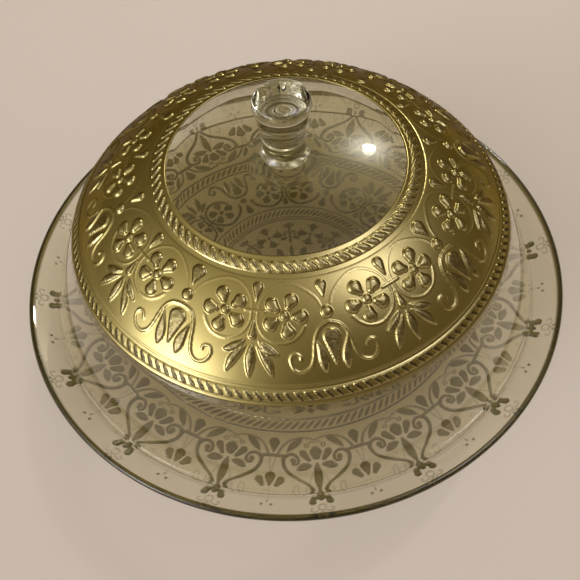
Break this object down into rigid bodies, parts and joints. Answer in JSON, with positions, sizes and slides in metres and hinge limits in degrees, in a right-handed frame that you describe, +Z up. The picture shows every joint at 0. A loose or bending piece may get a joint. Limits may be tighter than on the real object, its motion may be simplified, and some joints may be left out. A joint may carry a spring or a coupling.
{
  "type": "cake stand dome",
  "caption": "Low footed pressed-glass cake plate with an upturned rim, and a loose domed glass cover with a gilt shoulder and a solid glass knob that lifts off.",
  "frame": {"origin": "on the common axis of plate and cover, at the level of the table that the foot ring stands on", "axes": "+Z is up along the common axis; +X and +Y lie in the plane of the table and are equivalent"},
  "size_m": [0.33, 0.33, 0.1494],
  "materials": {
    "plate_glass": "clear pressed glass with a faint olive tint, moulded relief under the floor",
    "cover_glass": "clear pressed glass, smooth inside and out",
    "gilt": "fired gold over moulded relief, satin with bright raised edges",
    "knob_glass": "solid clear glass, fire polished"
  },
  "bodies": {
    "plate": {"plate": "plate_glass"},
    "cover": {"dome": "cover_glass", "gilt_band": "gilt", "knob": "knob_glass"}
  },
  "joints": [
    {"name": "cover_lift", "type": "slide", "parent": "plate", "child": "cover", "axis": [0, 0, 1], "range_m": [0, 0.2]}
  ]
}
